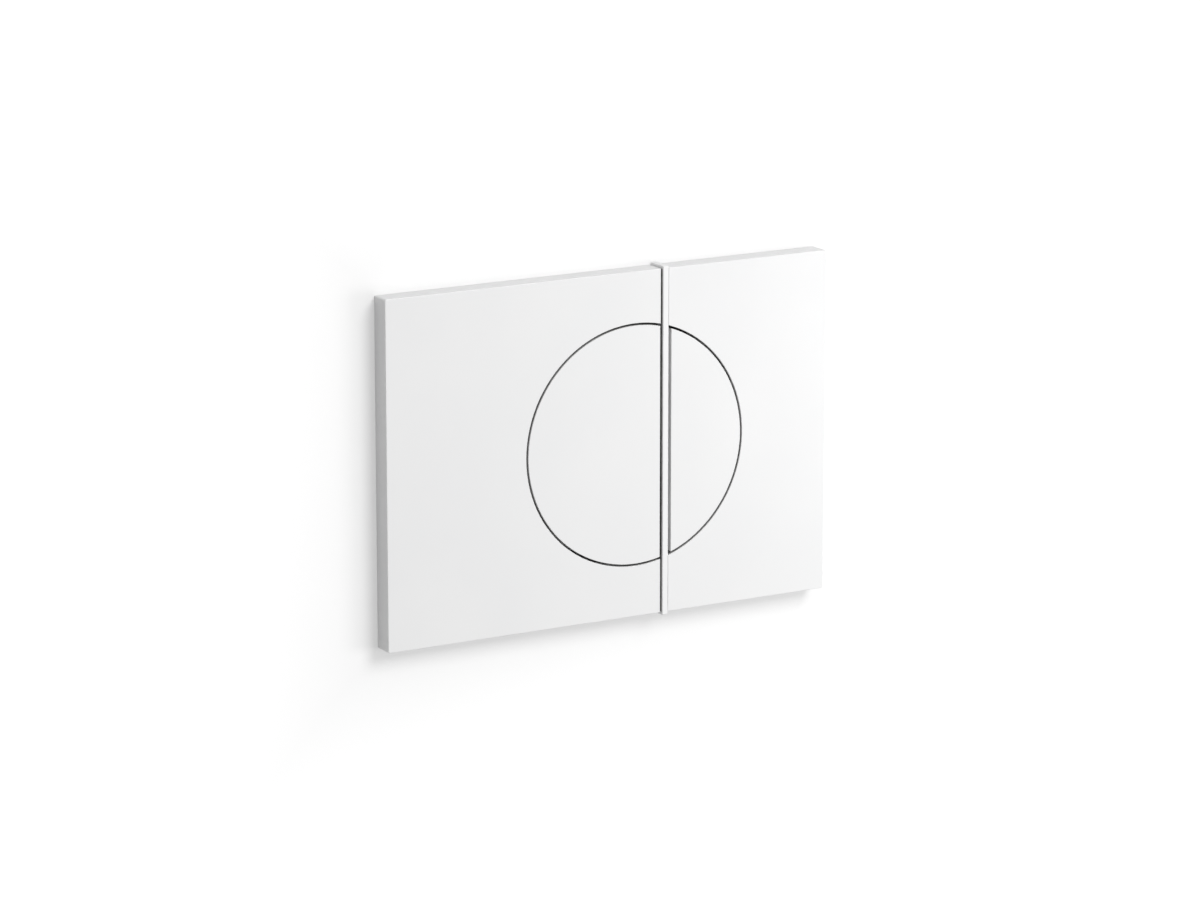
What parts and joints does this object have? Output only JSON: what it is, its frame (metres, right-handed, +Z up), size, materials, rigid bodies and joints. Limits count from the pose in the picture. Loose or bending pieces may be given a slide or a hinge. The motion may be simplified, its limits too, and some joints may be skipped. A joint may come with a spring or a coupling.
{
  "type": "flush button plate",
  "caption": "Rectangular dual flush plate for a concealed cistern, with a round field split by a raised strip into a large and a small hinged button, on a mounting frame with push rods.",
  "frame": {"origin": "centre of the plate on the wall plane", "axes": "+X to the right along the wall, +Y into the wall, +Z up; the front faces -Y"},
  "size_m": [0.22, 0.081, 0.1572],
  "materials": {
    "white_gloss": "smooth gloss moulded plastic",
    "pin_steel": "drawn stainless wire",
    "pad_rubber": "matt rubber",
    "pusher_acetal": "satin moulded acetal",
    "frame_plastic": "fine-grained moulded plastic",
    "guide_acetal": "satin moulded acetal",
    "rod_plastic": "satin moulded plastic with a fine thread",
    "head_plastic": "satin moulded plastic",
    "spring_steel": "drawn stainless wire",
    "zinc_steel": "zinc-plated thread",
    "knob_nylon": "fine-grained moulded nylon"
  },
  "bodies": {
    "mounted_plate": {"face_plate": "white_gloss", "divider_strip": "white_gloss", "large_rod_guide": "guide_acetal", "large_rod_spring": "spring_steel", "small_rod_guide": "guide_acetal", "small_rod_spring": "spring_steel", "left_fixing_stud": "zinc_steel", "left_lock_nut": "zinc_steel", "left_thumb_nut": "knob_nylon", "right_fixing_stud": "zinc_steel", "right_lock_nut": "zinc_steel", "right_thumb_nut": "knob_nylon", "stop_pads": "pad_rubber", "mounting_frame": "frame_plastic"},
    "large_flush_button": {"large_button": "white_gloss", "large_button_pin": "pin_steel", "large_pusher": "pusher_acetal"},
    "small_flush_button": {"small_button": "white_gloss", "small_button_pin": "pin_steel", "small_pusher": "pusher_acetal"},
    "large_rod": {"large_push_rod": "rod_plastic", "large_rod_head": "head_plastic", "large_rod_tip": "head_plastic", "large_rod_nut": "guide_acetal"},
    "small_rod": {"small_push_rod": "rod_plastic", "small_rod_head": "head_plastic", "small_rod_tip": "head_plastic", "small_rod_nut": "guide_acetal"}
  },
  "joints": [
    {"name": "large_button_hinge", "type": "hinge", "parent": "mounted_plate", "child": "large_flush_button", "pos_m": [-0.03515, -0.0045, 0], "axis": [0, 0, 1], "range_deg": [0, 5.2], "stiffness_Nm_per_rad": 3.1, "springref_deg": -2.29},
    {"name": "small_button_hinge", "type": "hinge", "parent": "mounted_plate", "child": "small_flush_button", "pos_m": [0.05995, -0.0045, 0], "axis": [0, 0, -1], "range_deg": [0, 10.5], "stiffness_Nm_per_rad": 0.5, "springref_deg": -5.73},
    {"name": "large_rod_slide", "type": "slide", "parent": "mounted_plate", "child": "large_rod", "axis": [0, 1, 0], "range_m": [0, 0.0046], "deforming": ["large_rod_spring"]},
    {"name": "small_rod_slide", "type": "slide", "parent": "mounted_plate", "child": "small_rod", "axis": [0, 1, 0], "range_m": [0, 0.0037], "deforming": ["small_rod_spring"]}
  ],
  "couplings": [
    {"joint": "large_rod_slide", "follows": "large_button_hinge", "m_per_rad": 0.04915},
    {"joint": "small_rod_slide", "follows": "small_button_hinge", "m_per_rad": 0.01945}
  ]
}
